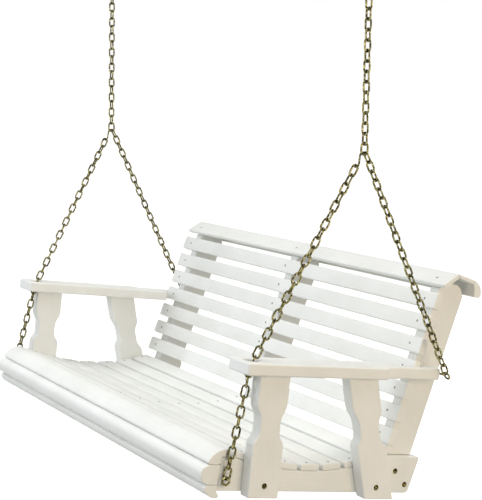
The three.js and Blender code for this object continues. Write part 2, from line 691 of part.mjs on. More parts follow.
// Branch chains, in the bench's frame.
for (const [side, word] of SIDES) {
  const junction = new THREE.Vector3(side * CHAIN_X, JUNCTION_Y, JUNCTION_HEIGHT);
  const hole = new THREE.Vector3(
    side * ARM_HOLE.x, ARM_HOLE.y, armUnderside(ARM_HOLE.y) + ARM_THICKNESS / 2);
  const frontRing = new THREE.Vector3(
    side * FRONT_EYE.x, FRONT_EYE.y, FRONT_EYE.z + EYE_RADIUS + EYE_WIRE / 2 + 0.6);
  const rearRing = new THREE.Vector3(side * REAR_EYE.x, REAR_EYE.y, REAR_EYE.z);
  const down = new THREE.Vector3().subVectors(hole, junction).normalize();
  const back = new THREE.Vector3().subVectors(rearRing, junction).normalize();

  // Front S-hook: bears on the front half of the junction link's lower bow.
  const across = new THREE.Vector3(-1, 0, 0)
    .addScaledVector(down, down.x).normalize();
  const up = down.clone().negate();
  const bend = (JUNCTION_WIDTH - WIRE) / 2;
  const bearing = bend - (WIRE + FRONT_HOOK_WIRE) / 2 - 2 * GAP;
  const crown = new THREE.Vector3(0, -bearing * Math.sin(BRANCH_SPREAD),
    bend - bearing * Math.cos(BRANCH_SPREAD))
    .applyAxisAngle(new THREE.Vector3(1, 0, 0), HANG_ANGLE)
    .add(junction);
  const reach = hookReach(FRONT_HOOK_RADIUS, FRONT_HOOK_HALF);
  const hookMiddle = crown.clone().addScaledVector(down, reach);
  bench.add(sHook(`front_s_hook_${word}`,
    new HookCurve(FRONT_HOOK_RADIUS, FRONT_HOOK_HALF, across, up, hookMiddle),
    FRONT_HOOK_WIRE));

  const frontTop = hookMiddle.clone().addScaledVector(down, reach + FRONT_HOOK_WIRE / 2 + 0.6);
  bench.add(piece(`front_chain_${word}`,
    geometryOf(chainBar(frontTop, hole).add(chainBar(hole, frontRing))), chainMetal()));

  const rearTop = junction.clone().addScaledVector(back, JUNCTION_WIDTH);
  const rearEnd = rearRing.clone().addScaledVector(back, -EYE_RADIUS - EYE_WIRE / 2 - 0.6);
  bench.add(piece(`rear_chain_${word}`,
    geometryOf(chainBar(rearTop, rearEnd)), chainMetal()));
}

// ---------------------------------------------------------------- the swing
const swing = new THREE.Group();
swing.add(bench);
for (const [side, word] of SIDES) {
  swing.add(ceilingPlate(side, word));
  swing.add(sHook(`top_s_hook_${word}`,
    new HookCurve(HOOK_RADIUS, HOOK_HALF, new THREE.Vector3(0, 1, 0),
      new THREE.Vector3(0, 0, 1), new THREE.Vector3(side * CHAIN_X, 0, hookCenter)),
    HOOK_WIRE));

  const chainTop = new THREE.Vector3(side * CHAIN_X, 0, hookBottom - HOOK_WIRE / 2 - 0.6);
  const chainLow = new THREE.Vector3(side * CHAIN_X, 0, junctionTop + 0.6);
  swing.add(piece(`drop_chain_${word}`, geometryOf(chainBar(chainTop, chainLow)),
    chainMetal()));

  const link = linkGeometry();
  link.translate(side * CHAIN_X, 0, junctionCenter);
  swing.add(piece(`junction_link_${word}`, geometryOf(solid(link)), chainMetal()));
}

export default swing;
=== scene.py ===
"""White porch swing hung on plated chains: painted boards, chains, hooks, bolts and screws.

Metres, +Z up, the swing faces -Y. The bench's own frame is square to its seat rails and
hangs leaning back, so bench sizes are given in that frame and then hung with `hung`.
"""

import math

import bmesh
import bpy
import numpy as np
from mathutils import Euler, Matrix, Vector


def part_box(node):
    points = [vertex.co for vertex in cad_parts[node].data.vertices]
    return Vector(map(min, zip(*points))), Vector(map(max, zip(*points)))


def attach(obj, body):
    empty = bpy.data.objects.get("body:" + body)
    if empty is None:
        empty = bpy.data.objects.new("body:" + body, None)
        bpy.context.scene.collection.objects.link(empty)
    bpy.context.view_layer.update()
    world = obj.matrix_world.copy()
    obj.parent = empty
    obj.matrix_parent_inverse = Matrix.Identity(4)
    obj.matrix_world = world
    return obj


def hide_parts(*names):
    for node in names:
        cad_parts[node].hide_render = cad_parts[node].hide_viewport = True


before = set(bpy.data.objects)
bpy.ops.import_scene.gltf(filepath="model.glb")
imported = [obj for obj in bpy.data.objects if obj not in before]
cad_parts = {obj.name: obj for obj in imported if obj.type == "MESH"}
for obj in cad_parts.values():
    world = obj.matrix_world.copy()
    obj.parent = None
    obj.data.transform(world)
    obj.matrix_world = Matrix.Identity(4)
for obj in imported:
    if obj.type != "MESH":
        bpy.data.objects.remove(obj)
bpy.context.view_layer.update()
MM = 0.001

# ------------------------------------------------------------------ driving sizes, mm
HANG_ANGLE = math.radians(9.25)     # how far the bench leans back in its chains
JUNCTION = (0, -1.75, 868)          # middle of the chain junctions' line, in the bench's frame

WIRE = 5.5                          # chain wire
PITCH = 25.4                        # inside length of a link
LINK_WIDTH = 22                     # outside width of a link
JUNCTION_WIDTH = 25                 # the link that carries both branches is wider
JUNCTION_BEND = (JUNCTION_WIDTH - WIRE) / 2     # centreline of that link's bows
BRANCH_SPREAD = math.radians(45)    # how far round its bow each branch bears
FRONT_CHAIN_TWIST = math.radians(50)    # so that the last links lie across the ring
PLAY = 0.3                          # between two wires that bear on each other

FRONT_HOOK_WIRE = 5
FRONT_HOOK_RADIUS = 7.5             # centreline of the bends of the lower hooks
FRONT_HOOK_HALF = 11.5              # half of the straight between the bends
FRONT_HOOK_REACH = math.hypot(FRONT_HOOK_RADIUS, FRONT_HOOK_HALF) + FRONT_HOOK_RADIUS
TOP_HOOK_WIRE = 6.5
TOP_HOOK_RADIUS = 9
TOP_HOOK_HALF = 13
HOOK_SWEEP = math.radians(215)      # each bend of a hook turns this far

EYE_WIRE = 5.5
EYE_RADIUS = 10                     # centreline of an eyebolt's ring
EYE_SHANK = 6
EYE_INSIDE = EYE_RADIUS - (EYE_WIRE + WIRE) / 2 - PLAY      # ring's middle to a link's crown
BOLT_HEAD = 15                      # across a carriage bolt's dome
BOLT_DOME = 4                       # height of the dome
BOLT_SHANK = 6.4
NUT_RADIUS = 6.9                    # across the corners of a nut, halved
NUT_HEIGHT = 6
NUT_CHAMFER = (0.9, 0.8)            # across and along
THREAD_PAST_NUT = 3
SCREW_HEAD = 6.5

SLATS = 7                           # in the seat, and in the back
SLAT_ROUND = 4.5                    # rounding of the slats' long edges
END_EASE = 0.6                      # a slat's ends are eased by this share of it
POST_ROUND = 4.0                    # rounding of the posts' edges
ARM_ROUND = 5.0                     # of the armrests' and side rails' edges
ROLL_ROUND = 2.5                    # of the edges of both rolls' boards

UPRIGHT_MIDDLES = (-648, -37, 648)  # where the back slats are screwed down
RAIL_MIDDLES = (-667, -18, 667)     # where the seat slats are screwed down
ROLL_SCREWS = (365, 584.8)          # (y, z) of the screws in the roll's front board
ROLL_FACE = (-0.594, 0.804)         # which way that board faces
ARM_HOLE = (690, -213, 314)         # where the front chain passes the armrest
FRONT_EYE = (700, -238, 29)         # middle of the front eyebolt's ring
RAIL_INNER = 648                    # inner faces of the side rails
UPRIGHT_INNER = 629                 # inner faces of the outer uprights

# ------------------------------------------------------------------ places
X_AXIS, Y_AXIS, Z_AXIS = np.eye(3)
ASKEW = np.array([0.31, 0.52, 0.79])    # along no piece, to work a side vector out from


def unit(vector):
    """The vector at length one."""
    return np.asarray(vector, float) / np.linalg.norm(vector)


def centre_of(node):
    """Middle of a CAD node's box, metres."""
    low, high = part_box(node)
    return (np.array(low) + np.array(high)) / 2


LEAN = np.array([
    [1, 0, 0],
    [0, math.cos(HANG_ANGLE), math.sin(HANG_ANGLE)],
    [0, -math.sin(HANG_ANGLE), math.cos(HANG_ANGLE)],
])
BENCH_BACK, BENCH_UP = LEAN[:, 1], LEAN[:, 2]
BOW_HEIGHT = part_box("junction_link_right")[0][2] + WIRE / 2 * MM
HANG_POINT = np.array([0.0, centre_of("junction_link_right")[1], BOW_HEIGHT])


def hung(points):
    """Bench millimetres to metres in the shared frame: lean back, then hang."""
    bench = np.asarray(points, float) * MM
    return (bench - np.array(JUNCTION) * MM) @ LEAN.T + HANG_POINT


def benched(points):
    """The inverse of `hung`: metres in the shared frame to bench millimetres."""
    return ((np.asarray(points, float) - HANG_POINT) @ LEAN) / MM + JUNCTION


# ------------------------------------------------------------------ materials
def linear(code):
    """sRGB hex code to linear RGBA."""
    parts = [int(code[i:i + 2], 16) / 255 for i in (1, 3, 5)]
    return [c / 12.92 if c <= 0.04045 else ((c + 0.055) / 1.055) ** 2.4
            for c in parts] + [1.0]


def add(tree, kind, settings=None, links=None):
    """Adds one node with its attributes or input values, and links sockets into it."""
    node = tree.nodes.new(kind)
    for key, value in (settings or {}).items():
        if key in node.inputs:
            node.inputs[key].default_value = value
        else:
            setattr(node, key, value)
    for key, socket in (links or {}).items():
        tree.links.new(socket, node.inputs[key])
    return node


def ramp(node, *stops):
    """Sets a colour ramp's two stops from (position, colour) pairs."""
    for element, (position, colour) in zip(node.color_ramp.elements, stops):
        element.position = position
        element.color = colour
    return node


def new_material(name):
    """An empty node material and its shader."""
    material = bpy.data.materials.new(name)
    material.use_nodes = True
    tree = material.node_tree
    shader = tree.nodes["Principled BSDF"]
    return material, tree, shader


GRAIN_SHOWS = 0.14                  # how much of the grain's shade the paint lets through
GRAIN_SCALE = 380.0                 # a ridge every 2.6 mm
CLOUD_SCALE = 9.0                   # brushed patches of about 110 mm
PATCH_SCALE = 160.0                 # patches of about 6 mm in the plating
COLOUR_A, COLOUR_B, COLOUR_OUT = 6, 7, 2    # the sockets of a Mix node that hold colours


def painted_pine(name, grain_scale):
    """Satin exterior paint, brushed over planed pine.

    The paint hides the wood's colour but not all of its grain: long shallow ridges
    2 to 3 mm apart follow the board, and brushing leaves it a little uneven in tone.
    """
    material, tree, shader = new_material(name)
    place = add(tree, "ShaderNodeTexCoord").outputs["Object"]
    along = add(tree, "ShaderNodeMapping", {"Scale": grain_scale}, {"Vector": place})
    grain = add(tree, "ShaderNodeTexNoise",
                {"Scale": GRAIN_SCALE, "Detail": 4.0, "Roughness": 0.6},
                {"Vector": along.outputs["Vector"]})
    clouds = add(tree, "ShaderNodeTexNoise", {"Scale": CLOUD_SCALE, "Detail": 3.0},
                 {"Vector": place})
    tone = ramp(add(tree, "ShaderNodeValToRGB", None, {"Fac": clouds.outputs["Fac"]}),
                (0.3, linear("#EAEBE7")), (0.7, linear("#F1F2EF")))
    streak = ramp(add(tree, "ShaderNodeValToRGB", None, {"Fac": grain.outputs["Fac"]}),
                  (0.30, linear("#E2DED4")), (0.5, linear("#FFFFFF")))
    colour = add(tree, "ShaderNodeMix",
                 {"data_type": "RGBA", "blend_type": "MULTIPLY", "Factor": GRAIN_SHOWS},
                 {COLOUR_A: tone.outputs["Color"], COLOUR_B: streak.outputs["Color"]})
    tree.links.new(colour.outputs[COLOUR_OUT], shader.inputs["Base Color"])
    shine = add(tree, "ShaderNodeMapRange",
                {"To Min": 0.42, "To Max": 0.58}, {"Value": clouds.outputs["Fac"]})
    tree.links.new(shine.outputs["Result"], shader.inputs["Roughness"])
    relief = add(tree, "ShaderNodeBump", {"Strength": 0.18, "Distance": 0.0004},
                 {"Height": grain.outputs["Fac"]})
    tree.links.new(relief.outputs["Normal"], shader.inputs["Normal"])
    shader.inputs["IOR"].default_value = 1.5
    return material


def plated_steel(name, dark, bright, rough_low, rough_high):
    """Steel plated with brass or zinc, darkened, and rubbed bright in places.

    Its shade and its shine change together over a few millimetres.
    """
    material, tree, shader = new_material(name)
    place = add(tree, "ShaderNodeTexCoord").outputs["Object"]
    patches = add(tree, "ShaderNodeTexNoise", {"Scale": PATCH_SCALE, "Detail": 3.0},
                  {"Vector": place})
    colour = ramp(add(tree, "ShaderNodeValToRGB", None, {"Fac": patches.outputs["Fac"]}),
                  (0.42, linear(dark)), (0.68, linear(bright)))
    tree.links.new(colour.outputs["Color"], shader.inputs["Base Color"])
    shine = add(tree, "ShaderNodeMapRange", {"To Min": rough_low, "To Max": rough_high},
                {"Value": patches.outputs["Fac"]})
    tree.links.new(shine.outputs["Result"], shader.inputs["Roughness"])
    shader.inputs["Metallic"].default_value = 1.0
    return material


ACROSS = (0.04, 1.0, 1.0)           # grain along X, each ridge 25 times as long as wide
UPRIGHT = (1.0, 1.0, 0.04)          # grain along Z
FORE_AFT = (1.0, 0.04, 1.0)         # grain along Y
SLAT_PAINT = painted_pine("satin_paint_slats", ACROSS)
POST_PAINT = painted_pine("satin_paint_posts", UPRIGHT)
ARM_PAINT = painted_pine("satin_paint_arms", FORE_AFT)
CHAIN_PLATING = plated_steel("antique_brass_chain", "#37331A", "#B2AB78", 0.12, 0.32)
BOLT_PLATING = plated_steel("antique_brass_bolts", "#2A2513", "#8A7A48", 0.12, 0.3)
SCREW_PLATING = plated_steel("dull_zinc_screws", "#5F5D57", "#94928B", 0.4, 0.6)


# ------------------------------------------------------------------ meshes
def surface(name, vertices, faces, material, slot):
    """A smooth mesh object at the origin from vertices in metres and faces."""
    mesh = bpy.data.meshes.new(name)
    mesh.from_pydata([tuple(v) for v in vertices], [], [tuple(f) for f in faces])
    mesh.materials.append(material)
    mesh.polygons.foreach_set("use_smooth", [True] * len(mesh.polygons))
    mesh.update()
    piece = bpy.data.objects.new(name, mesh)
    bpy.context.scene.collection.objects.link(piece)
    return piece


def grid_faces(rows, columns, close_rows, close_columns):
    """Quads over a grid of rows by columns, wrapped round where asked."""
    row = np.arange(rows if close_rows else rows - 1)
    column = np.arange(columns if close_columns else columns - 1)
    row, column = (index.ravel() for index in np.meshgrid(row, column, indexing="ij"))
    here = row * columns
    next_row = (row + 1) % rows * columns
    next_column = (column + 1) % columns
    corners = [here + column, next_row + column, next_row + next_column, here + next_column]
    return np.stack(corners, axis=1).tolist()


def end_faces(rows, columns):
    """One face over the first row of a grid, and one over its last."""
    return [list(range(columns)), list(range((rows - 1) * columns, rows * columns))]


def tube(path, radius, sides, closed):
    """Round wire on a path: centre + radius (cos a side + sin a normal) at each point.

    The side is carried along by projecting the last one off the new tangent. Returns
    vertices and faces, with flat ends where the path is open. The ring turns from side
    to normal, so the grid's faces are reversed to point out.
    """
    if closed:
        tangent = np.roll(path, -1, 0) - np.roll(path, 1, 0)
    else:
        tangent = np.gradient(path, axis=0)
    tangent /= np.linalg.norm(tangent, axis=1, keepdims=True)
    carried = [np.cross(tangent[0], ASKEW)]
    for direction in tangent:
        carried.append(unit(carried[-1] - direction * (carried[-1] @ direction)))
    side = np.array(carried[1:])
    normal = np.cross(tangent, side)
    angle = np.linspace(0, 2 * math.pi, sides, endpoint=False)
    ring = (np.cos(angle)[None, :, None] * side[:, None]
            + np.sin(angle)[None, :, None] * normal[:, None])
    vertices = (path[:, None] + radius * ring).reshape(-1, 3)
    faces = [face[::-1] for face in grid_faces(len(path), sides, closed, True)]
    if not closed:
        faces += end_faces(len(path), sides)
    return vertices, faces


def outward(piece):
    """Turns every face of a closed piece to point out."""
    mesh = piece.data
    work = bmesh.new()
    work.from_mesh(mesh)
    bmesh.ops.recalc_face_normals(work, faces=work.faces)
    work.to_mesh(mesh)
    work.free()
    return piece


def joined(parts):
    """Several (vertices, faces) as one."""
    vertices, faces, start = [], [], 0
    for points, quads in parts:
        vertices.append(points)
        faces += [[index + start for index in quad] for quad in quads]
        start += len(points)
    return np.concatenate(vertices), faces


# ------------------------------------------------------------------ slats and their screws
SLAT_CREASE = math.radians(50)      # a slat shades smoothly over bends of less
CORNER_STEPS = 5                    # points round each corner of a slat's section
END_STEPS = 4                       # sections over the easing of a slat's end


def section_of(node):
    """A CAD slat's ends, and its section's middle, long and thin axes and half extents.

    The section is seen along X. The thin axis is the direction, in steps of a quarter
    degree, in which the slat's corners spread least.
    """
    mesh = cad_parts[node].data
    flat = np.empty(len(mesh.vertices) * 3)
    mesh.vertices.foreach_get("co", flat)
    points = benched(flat.reshape(-1, 3))
    section = points[:, 1:]
    middle = (section.max(0) + section.min(0)) / 2
    spread = section - middle
    angles = np.radians(np.arange(0, 180, 0.25))
    widths = np.ptp(spread @ [np.cos(angles), np.sin(angles)], axis=0)
    thin = angles[np.argmin(widths)]
    thin_axis = np.array([math.cos(thin), math.sin(thin)])
    long_axis = np.array([-thin_axis[1], thin_axis[0]])
    along = spread @ long_axis
    through = spread @ thin_axis
    middle = (middle + long_axis * (along.max() + along.min()) / 2
              + thin_axis * (through.max() + through.min()) / 2)
    half = np.array([np.ptp(along), np.ptp(through)]) / 2
    return (points[:, 0].min(), points[:, 0].max()), middle, long_axis, thin_axis, half


def rounded_slat(node):
    """A slat: a rounded rectangle carried along X, its ends eased by a smaller one.

    A point of the outline is a corner's centre plus (rounding - inset) (cos a, sin a).
    Over each end, x goes in as 1 - cos b and the inset falls as 1 - sin b, for b from 0
    to a quarter turn. Returns the section's middle, its thin axis and half its thickness.
    """
    (low, high), middle, long_axis, thin_axis, half = section_of(node)
    over_end = np.linspace(0, math.pi / 2, END_STEPS)
    advance = END_EASE * SLAT_ROUND * (1 - np.cos(over_end))
    inset = END_EASE * SLAT_ROUND * (1 - np.sin(over_end))
    x = np.concatenate([low + advance, (high - advance)[::-1]])
    inset = np.concatenate([inset, inset[::-1]])

    quarter = np.arange(4)[:, None] * math.pi / 2
    angle = np.linspace(0, math.pi / 2, CORNER_STEPS) + quarter
    centres = np.array([[1, 1], [-1, 1], [-1, -1], [1, -1]]) * (half - SLAT_ROUND)
    arcs = (SLAT_ROUND - inset)[:, None, None, None] * np.stack(
        [np.cos(angle), np.sin(angle)], -1)
    outline = (centres[:, None] + arcs).reshape(len(x), -1, 2)
    yz = middle + outline[..., :1] * long_axis + outline[..., 1:] * thin_axis
    rings = np.concatenate([np.broadcast_to(x[:, None, None], yz[..., :1].shape), yz], -1)

    around = rings.shape[1]
    faces = grid_faces(len(x), around, False, True) + end_faces(len(x), around)
    piece = outward(surface(node + "_board", hung(rings.reshape(-1, 3)), faces,
                            SLAT_PAINT, "painted_wood"))
    piece.data.set_sharp_from_angle(angle=SLAT_CREASE)
    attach(piece, "bench")
    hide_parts(node)
    return middle, thin_axis, half[1]


def turned(profile, origin, axis, sides=14):
    """A profile of (radius, height) pairs turned about an axis; both ends on the axis.

    A point is origin + height axis + radius (cos a side + sin a other).
    """
    axis = unit(axis)
    side = unit(np.cross(axis, ASKEW))
    other = np.cross(axis, side)
    angle = np.linspace(0, 2 * math.pi, sides, endpoint=False)
    around = np.cos(angle)[:, None] * side + np.sin(angle)[:, None] * other
    profile = np.asarray(profile, float)
    inner = profile[1:-1]
    rings = (origin + inner[:, 1, None, None] * axis
             + inner[:, 0, None, None] * around[None])
    ends = [origin + profile[0, 1] * axis, origin + profile[-1, 1] * axis]
    vertices = np.concatenate([rings.reshape(-1, 3), ends])
    first, last = len(inner) * sides, len(inner) * sides + 1
    low_ring, high_ring = end_faces(len(inner), sides)
    faces = grid_faces(len(inner), sides, False, True)
    faces += [[first, b, a] for a, b in zip(low_ring, low_ring[1:] + low_ring[:1])]
    faces += [[last, a, b] for a, b in zip(high_ring, high_ring[1:] + high_ring[:1])]
    return vertices, faces


# A dimple for the recess, a low dome, and a skirt sunk in the board.
SCREW_PROFILE = [(0, -1.2), (0.5, -1.2), (1.2, 0.1), (SCREW_HEAD / 2 - 0.8, 0.5),
                 (SCREW_HEAD / 2, 0.2), (SCREW_HEAD / 2, -1.5), (0, -1.5)]


def screw(place, face):
    """A screw's head at (x, y, z) in bench millimetres, facing (y, z)."""
    axis = face[0] * BENCH_BACK + face[1] * BENCH_UP
    return turned(np.array(SCREW_PROFILE) * MM, hung(place), axis)


def screwed_slats(kind, supports, toward):
    """Slats of a kind, with a row of screw heads over each support, on the toward side."""
    heads = []
    for number in range(1, SLATS + 1):
        middle, thin_axis, half = rounded_slat(f"{kind}_slat_{number}")
        face = thin_axis if thin_axis @ toward > 0 else -thin_axis
        on_face = middle + face * half
        heads += [screw((x, *on_face), face) for x in supports]
    return heads


screws = {
    "seat_slat_screws": screwed_slats("seat", RAIL_MIDDLES, (0, 1)),
    "back_slat_screws": screwed_slats("back", UPRIGHT_MIDDLES, (-1, 0)),
    "top_roll_screws": [screw((x, *ROLL_SCREWS), ROLL_FACE) for x in UPRIGHT_MIDDLES],
}
for name, heads in screws.items():
    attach(outward(surface(name, *joined(heads), SCREW_PLATING, "bolt_metal")), "bench")


# ------------------------------------------------------------------ sawn boards
BOARD_EDGE = math.radians(35)       # a board's edges are where its faces meet at more
FLAT = math.radians(1.0)            # faces that meet at less are one face
WELD = 0.05                         # mm; corners of the CAD triangles nearer than this meet
HOLE_FACET = 3.2                    # mm; a bolt hole's facets are narrower than this


def eased_board(node, material, rounding):
    """A sawn board: the CAD solid merged into whole faces, with its edges rounded.

    The bolt holes, which the bolts fill, are closed first. Their walls are the faces
    that don't look along X and have an edge shorter than HOLE_FACET.
    """
    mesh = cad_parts[node].data.copy()
    mesh.name = node + "_board"
    work = bmesh.new()
    work.from_mesh(mesh)
    bmesh.ops.remove_doubles(work, verts=work.verts, dist=WELD * MM)
    walls = [face for face in work.faces if abs(face.normal.x) < 0.1
             and min(edge.calc_length() for edge in face.edges) < HOLE_FACET * MM]
    bmesh.ops.delete(work, geom=walls, context="FACES")
    rims = [edge for edge in work.edges if len(edge.link_faces) == 1]
    bmesh.ops.holes_fill(work, edges=rims, sides=0)
    bmesh.ops.dissolve_limit(work, angle_limit=FLAT, verts=work.verts, edges=work.edges)
    bmesh.ops.recalc_face_normals(work, faces=work.faces)
    weight = work.edges.layers.float.new("bevel_weight_edge")
    for edge in work.edges:
        if len(edge.link_faces) == 2 and edge.calc_face_angle() > BOARD_EDGE:
            edge[weight] = 1.0
    work.to_mesh(mesh)
    work.free()
    mesh.materials.clear()
    mesh.materials.append(material)
    mesh.polygons.foreach_set("use_smooth", [True] * len(mesh.polygons))
    mesh.set_sharp_from_angle(angle=BOARD_EDGE)
    piece = bpy.data.objects.new(node + "_board", mesh)
    bpy.context.scene.collection.objects.link(piece)
    bevel = piece.modifiers.new("eased_edges", "BEVEL")
    bevel.limit_method = "WEIGHT"
    bevel.width = rounding * MM
    bevel.segments = 3
    bevel.use_clamp_overlap = False
    bevel.harden_normals = True
    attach(piece, "bench")
    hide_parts(node)


for word in ("left", "right"):
    eased_board(f"seat_side_rail_{word}", ARM_PAINT, ARM_ROUND)
    eased_board(f"back_upright_{word}", POST_PAINT, POST_ROUND)
    eased_board(f"arm_support_front_{word}", POST_PAINT, POST_ROUND)
    eased_board(f"arm_support_rear_{word}", POST_PAINT, POST_ROUND)
    eased_board(f"armrest_{word}", ARM_PAINT, ARM_ROUND)
eased_board("back_upright_center", POST_PAINT, POST_ROUND)
eased_board("seat_center_rail", ARM_PAINT, POST_ROUND)
for board in ("top_roll_front_slat", "top_roll_top_slat", "top_roll_rear_slat",
              "seat_front_top_board", "seat_front_board", "seat_front_lower_board"):
    eased_board(board, SLAT_PAINT, ROLL_ROUND)


# ------------------------------------------------------------------ metal
HOOK_STEPS = 40                     # points along a hook's wire
RING_STEPS = 28                     # points round an eyebolt's ring
DOME = [(0, 0), (2.6, -0.3), (5.0, -1.4), (6.8, -2.8), (BOLT_HEAD / 2, -BOLT_DOME),
        (BOLT_HEAD / 2 - 0.4, -BOLT_DOME - 0.2), (BOLT_SHANK / 2, -BOLT_DOME - 0.2)]


def link(centre, along, across, width=LINK_WIDTH, steps=18, sides=6):
    """One link in metres: a half circle at each end of two straights, swept by the wire.

    Its long side lies along `along` and its width along `across`.
    """
    bend = (width - WIRE) / 2
    straight = (PITCH + WIRE) / 2 - bend
    a = np.linspace(0, math.pi, steps // 2)
    top = np.stack([bend * np.cos(a), straight + bend * np.sin(a)], 1)
    path = np.concatenate([top, -top]) * MM
    points = centre + path[:, :1] * across + path[:, 1:] * along
    return tube(points, WIRE / 2 * MM, sides, True)


def chain_run(corners, first_across, twist=0.0):
    """Links along a taut line of corners, each a quarter turn from the last.

    The line runs between the middles of the end links' bearing wires. The count is the
    nearest whole number and the links share what is left of the length. The whole run
    is wound by the angle twist, an equal part of it at each link.
    """
    corners = np.array(corners)
    lengths = np.linalg.norm(np.diff(corners, axis=0), axis=1)
    reached = np.concatenate([[0], np.cumsum(lengths)])
    count = round((reached[-1] / MM - WIRE) / PITCH)
    marks = np.linspace(WIRE / 2 * MM, reached[-1] - WIRE / 2 * MM, count + 1)
    places = np.stack([np.interp(marks, reached, corners[:, k]) for k in range(3)], 1)
    links = []
    for i in range(count):
        along = unit(places[i + 1] - places[i])
        across = unit(first_across - along * (first_across @ along))
        wound = twist * i / (count - 1) + (math.pi / 2 if i % 2 else 0)
        across = across * math.cos(wound) + np.cross(along, across) * math.sin(wound)
        links.append(link((places[i] + places[i + 1]) / 2, along, across))
    return links


def metal(name, parts, body, nodes, material=CHAIN_PLATING, slot="chain_metal"):
    """A metal piece that stands for CAD nodes and rides on a body."""
    piece = outward(surface(name, *joined(parts), material, slot))
    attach(piece, body)
    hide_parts(*nodes)


def hook_path(radius, half, axis_u, axis_v, centre):
    """An S: a bend of HOOK_SWEEP, a straight of 2 half, and the same bend the other way.

    It is turned so that the centres of both bends lie on axis_v through its middle.
    """
    bend = radius * HOOK_SWEEP
    s = np.linspace(0, 2 * bend + 2 * half, HOOK_STEPS)
    upper = HOOK_SWEEP - s / radius
    lower = (s - bend - 2 * half) / radius
    u = np.where(s < bend, radius * (np.cos(upper) - 1),
                 np.where(s > bend + 2 * half, radius * (1 - np.cos(lower)), 0))
    v = np.where(s < bend, half + radius * np.sin(upper),
                 np.where(s > bend + 2 * half, -half - radius * np.sin(lower),
                          half - (s - bend)))
    lean = math.atan2(radius, half)
    across = u * math.cos(lean) + v * math.sin(lean)
    along = v * math.cos(lean) - u * math.sin(lean)
    return centre + MM * (across[:, None] * axis_u + along[:, None] * axis_v)


def nut(place, axis):
    """A hexagonal nut: six flats with a chamfer at each face, from place along axis."""
    face_radius, chamfer = NUT_RADIUS - NUT_CHAMFER[0], NUT_CHAMFER[1]
    profile = [(0, 0), (face_radius, 0), (NUT_RADIUS, chamfer),
               (NUT_RADIUS, NUT_HEIGHT - chamfer), (face_radius, NUT_HEIGHT),
               (0, NUT_HEIGHT)]
    return turned(np.array(profile) * MM, place, axis, 6)


def carriage_bolt(node):
    """Domed head, plain shank and nut along X, between the ends of the CAD bolt."""
    low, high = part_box(node)
    way = -1 if node.endswith("left") else 1
    out = way * X_AXIS
    head = centre_of(node)
    head[0] = high[0] if way > 0 else low[0]
    length = (high[0] - low[0]) / MM
    profile = DOME + [(BOLT_SHANK / 2, -length), (0, -length)]
    nut_start = head - out * (length - THREAD_PAST_NUT) * MM
    metal(node + "_turned",
          [turned(np.array(profile) * MM, head, out, 20), nut(nut_start, out)],
          "bench", [node], BOLT_PLATING, "bolt_metal")


def eyebolt(node, way, eye, ring_axes, foot, wood):
    """A ring of wire about eye, with a shank inward from foot through a piece of wood.

    The ring is eye + EYE_RADIUS (cos a first axis + sin a second axis). The nut stands
    inside the wood's inner face, which is wood millimetres from the middle.
    """
    first, second = ring_axes
    a = np.linspace(0, 2 * math.pi, RING_STEPS, endpoint=False)
    ring = eye + EYE_RADIUS * MM * (np.cos(a)[:, None] * first + np.sin(a)[:, None] * second)
    low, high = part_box(node)
    inner_end = (low if way > 0 else high)[0]
    shank = np.array([foot, [inner_end, foot[1], foot[2]]])
    nut_at = np.array([way * (wood - NUT_HEIGHT - PLAY) * MM, foot[1], foot[2]])
    metal(node + "_wire", [tube(ring, EYE_WIRE / 2 * MM, 10, True),
                           tube(shank, EYE_SHANK / 2 * MM, 12, False),
                           nut(nut_at, way * X_AXIS)],
          "bench", [node])


def top_hook(word):
    """The S-hook between a ceiling bail and a drop chain."""
    node = f"top_s_hook_{word}"
    path = hook_path(TOP_HOOK_RADIUS, TOP_HOOK_HALF, Y_AXIS, Z_AXIS, centre_of(node))
    metal(node + "_wire", [tube(path, TOP_HOOK_WIRE / 2 * MM, 12, False)],
          "top_hooks", [node])


def drop_chain(word):
    """Links from the top hook's lower bend to the junction link's upper bow."""
    node = f"drop_chain_{word}"
    hook = f"top_s_hook_{word}"
    x = centre_of(hook)[0]
    hook_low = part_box(hook)[0][2]
    bow_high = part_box(f"junction_link_{word}")[1][2]
    top = (x, 0, hook_low + (TOP_HOOK_WIRE + WIRE / 2 + PLAY) * MM)
    low = (x, 0, bow_high - (1.5 * WIRE + PLAY) * MM)
    links = chain_run([top, low], X_AXIS)
    metal(node + "_links", links, f"{word}_drop_chain", [node])


def junction_link(word):
    """The wider link that carries both branches."""
    node = f"junction_link_{word}"
    metal(node + "_wire",
          [link(centre_of(node), Z_AXIS, Y_AXIS, JUNCTION_WIDTH, steps=28, sides=10)],
          f"{word}_junction", [node])


def bow_middle(word):
    """Centre of the bend of the junction link's lower bow."""
    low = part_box(f"junction_link_{word}")[0][2]
    x = centre_of(f"top_s_hook_{word}")[0]
    return np.array([x, 0, low + (WIRE / 2 + JUNCTION_BEND) * MM])


